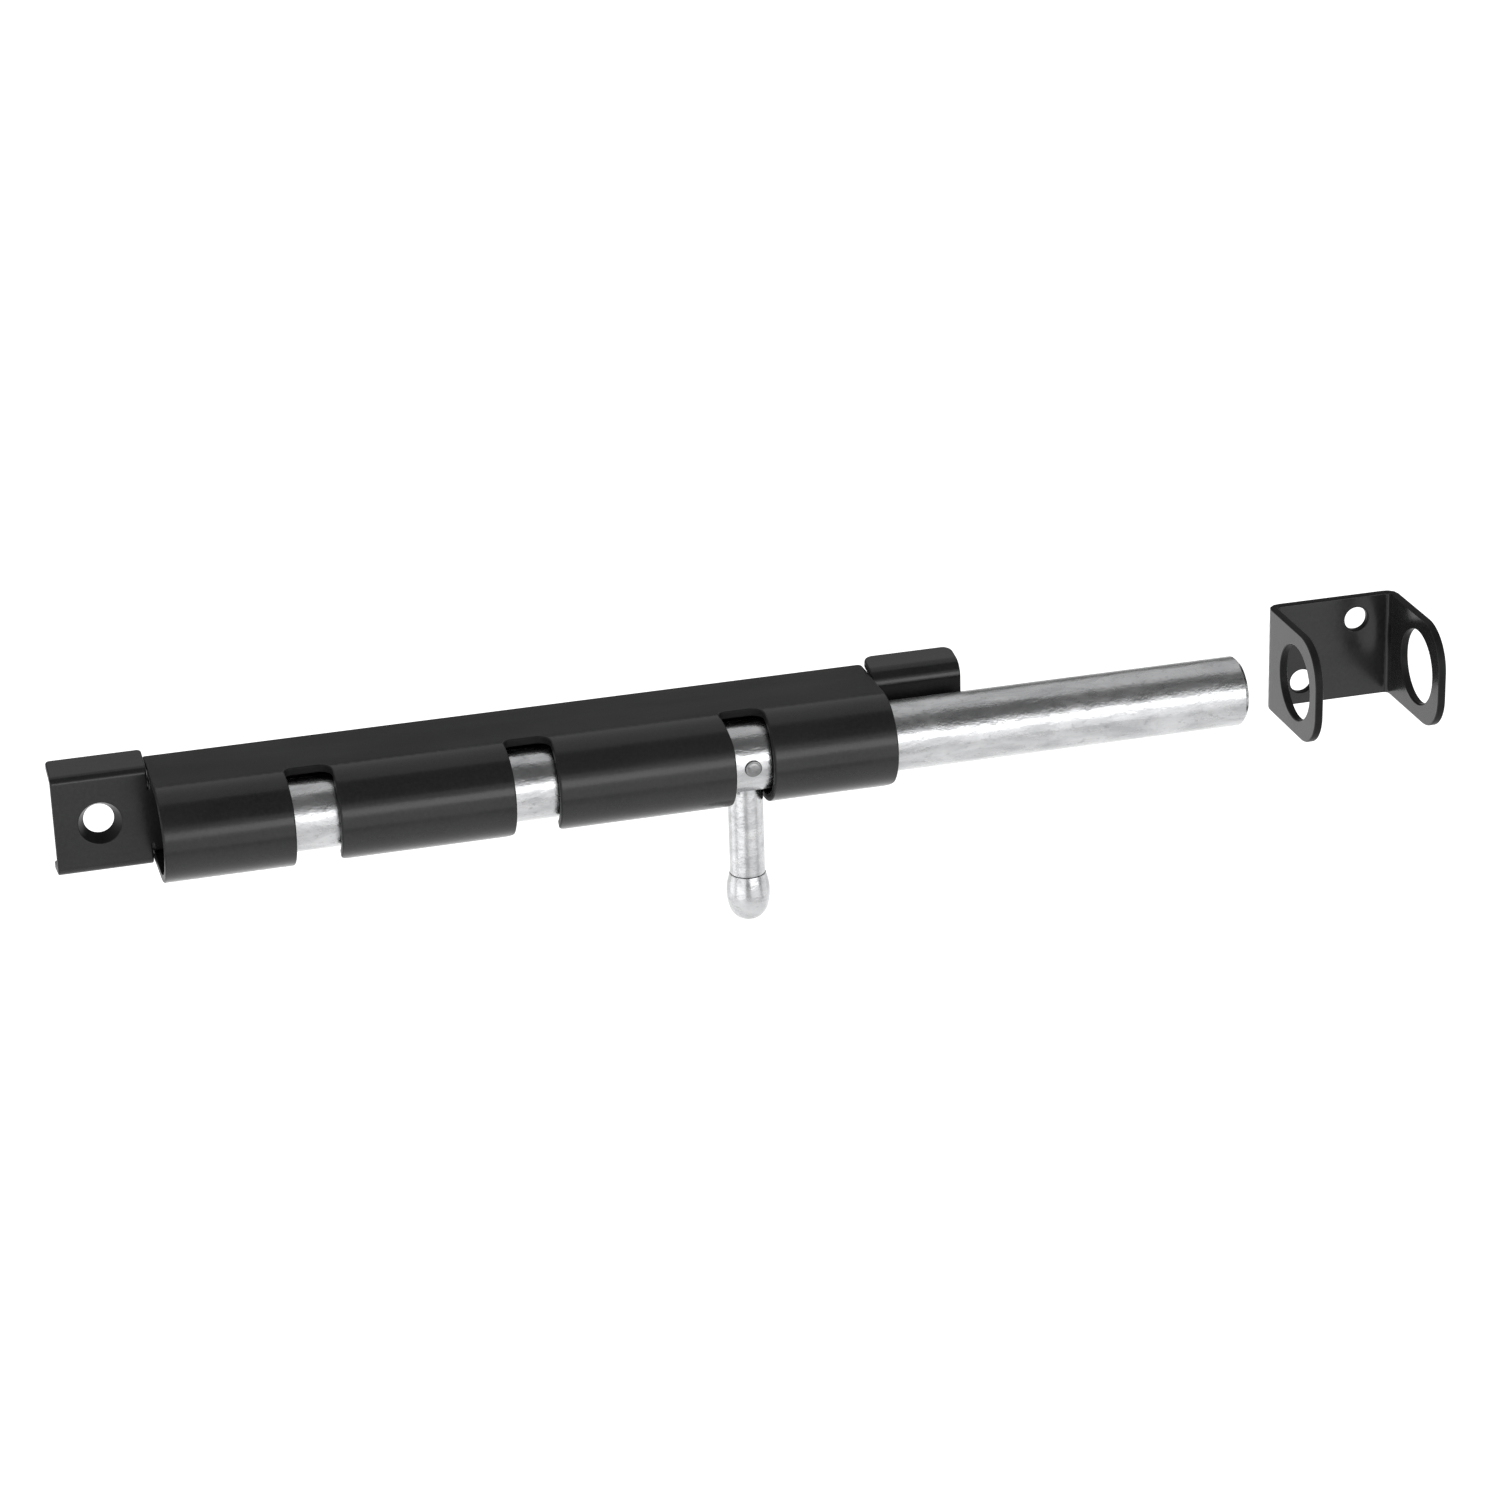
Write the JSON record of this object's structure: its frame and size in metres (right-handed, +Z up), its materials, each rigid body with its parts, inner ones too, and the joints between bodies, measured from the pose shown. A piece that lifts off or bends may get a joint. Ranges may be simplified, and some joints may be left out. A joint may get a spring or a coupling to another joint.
{
  "type": "toggle bolt latch",
  "caption": "Surface-mounted sliding bolt in a slotted sheet-metal sleeve, with a turning handle that locks in the slots, and a separate two-eared keeper.",
  "frame": {"origin": "on the wall plane, at the height of the bolt's axis, behind the middle of the sleeve", "axes": "+X along the bolt towards the keeper, +Y into the wall, +Z up"},
  "size_m": [0.2503, 0.0246, 0.0416],
  "materials": {
    "black_coated_sheet": "satin black powder coat on pressed steel sheet",
    "zinc_plated_steel": "bright zinc plating on round steel bar, slightly mottled"
  },
  "bodies": {
    "mounted_parts": {"base_channel": "black_coated_sheet", "sleeve": "black_coated_sheet", "keeper": "black_coated_sheet"},
    "bolt": {"bolt_rod": "zinc_plated_steel"},
    "handle": {"handle_shank": "zinc_plated_steel", "handle_knob": "zinc_plated_steel", "cross_pin": "zinc_plated_steel"}
  },
  "joints": [
    {"name": "bolt_slide", "type": "slide", "parent": "mounted_parts", "child": "bolt", "axis": [1, 0, 0], "range_m": [-0.078, 0]},
    {"name": "handle_turn", "type": "hinge", "parent": "bolt", "child": "handle", "pos_m": [0.039, -0.0144, 0], "axis": [-1, 0, 0], "range_deg": [0, 140]}
  ]
}
